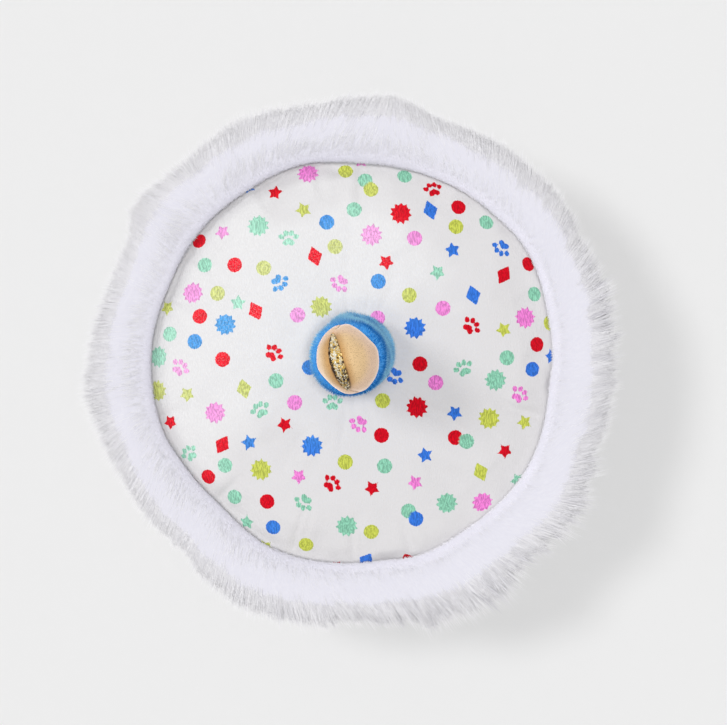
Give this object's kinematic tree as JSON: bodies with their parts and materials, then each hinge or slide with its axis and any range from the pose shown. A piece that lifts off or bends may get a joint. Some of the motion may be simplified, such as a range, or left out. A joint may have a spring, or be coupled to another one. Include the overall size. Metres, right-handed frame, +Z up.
{
  "type": "plush cake dog toy",
  "caption": "Round plush birthday cake toy for dogs: crowned printed top, long fur trim, stuffed leaning candle with a flame, and a squeaker inside.",
  "frame": {"origin": "middle of the flat base, on the surface the toy stands on", "axes": "+Z up; seen from above with +X to the right, the candle leans towards -X and -Y"},
  "size_m": [0.257, 0.257, 0.2064],
  "materials": {
    "printed_pile": "white short pile with a confetti print in red, blue, lime, mint and pink",
    "long_fur": "long white pile, matt with a soft sheen",
    "blue_plush": "short blue pile",
    "tan_velour": "short tan nap",
    "gold_cloth": "crinkled metallic gold",
    "fibre_filling": "loose polyester fibre",
    "squeaker_plastic": "soft translucent polyethylene"
  },
  "bodies": {
    "cake": {"top_panel": "printed_pile", "fur_trim": "long_fur", "side_panel": "printed_pile", "base_panel": "printed_pile", "stuffing_upper": "fibre_filling", "stuffing_lower": "fibre_filling", "squeaker_base": "squeaker_plastic", "squeaker_reed": "squeaker_plastic", "squeaker_bellows": "squeaker_plastic"},
    "squeaker_press": {"squeaker_crown": "squeaker_plastic"},
    "candle_root": {"candle_foot": "blue_plush"},
    "candle": {"candle_sleeve": "blue_plush", "candle_top": "blue_plush", "candle_stuffing": "fibre_filling"},
    "flame": {"flame_cheek_left": "tan_velour", "flame_cheek_right": "tan_velour", "flame_gusset": "gold_cloth", "flame_stuffing": "fibre_filling"}
  },
  "joints": [
    {"name": "squeaker_travel", "type": "slide", "parent": "cake", "child": "squeaker_press", "axis": [0, 0, -1], "range_m": [0, 0.008], "stiffness_N_per_m": 500, "deforming": ["squeaker_bellows"]},
    {"name": "candle_nod", "type": "hinge", "parent": "cake", "child": "candle_root", "pos_m": [0.0042, 0.0059, 0.093], "axis": [1, 0, 0], "range_deg": [-18, 18], "stiffness_Nm_per_rad": 0.3, "deforming": ["candle_foot"]},
    {"name": "candle_sway", "type": "hinge", "parent": "candle_root", "child": "candle", "pos_m": [0.0042, 0.0059, 0.093], "axis": [0, 1, 0], "range_deg": [-18, 18], "stiffness_Nm_per_rad": 0.3, "deforming": ["candle_foot"]},
    {"name": "flame_nod", "type": "hinge", "parent": "candle", "child": "flame", "pos_m": [0.00118, 0.00223, 0.16701], "axis": [-0.2639, 0.9646, 0], "range_deg": [-20, 20], "stiffness_Nm_per_rad": 0.03}
  ]
}
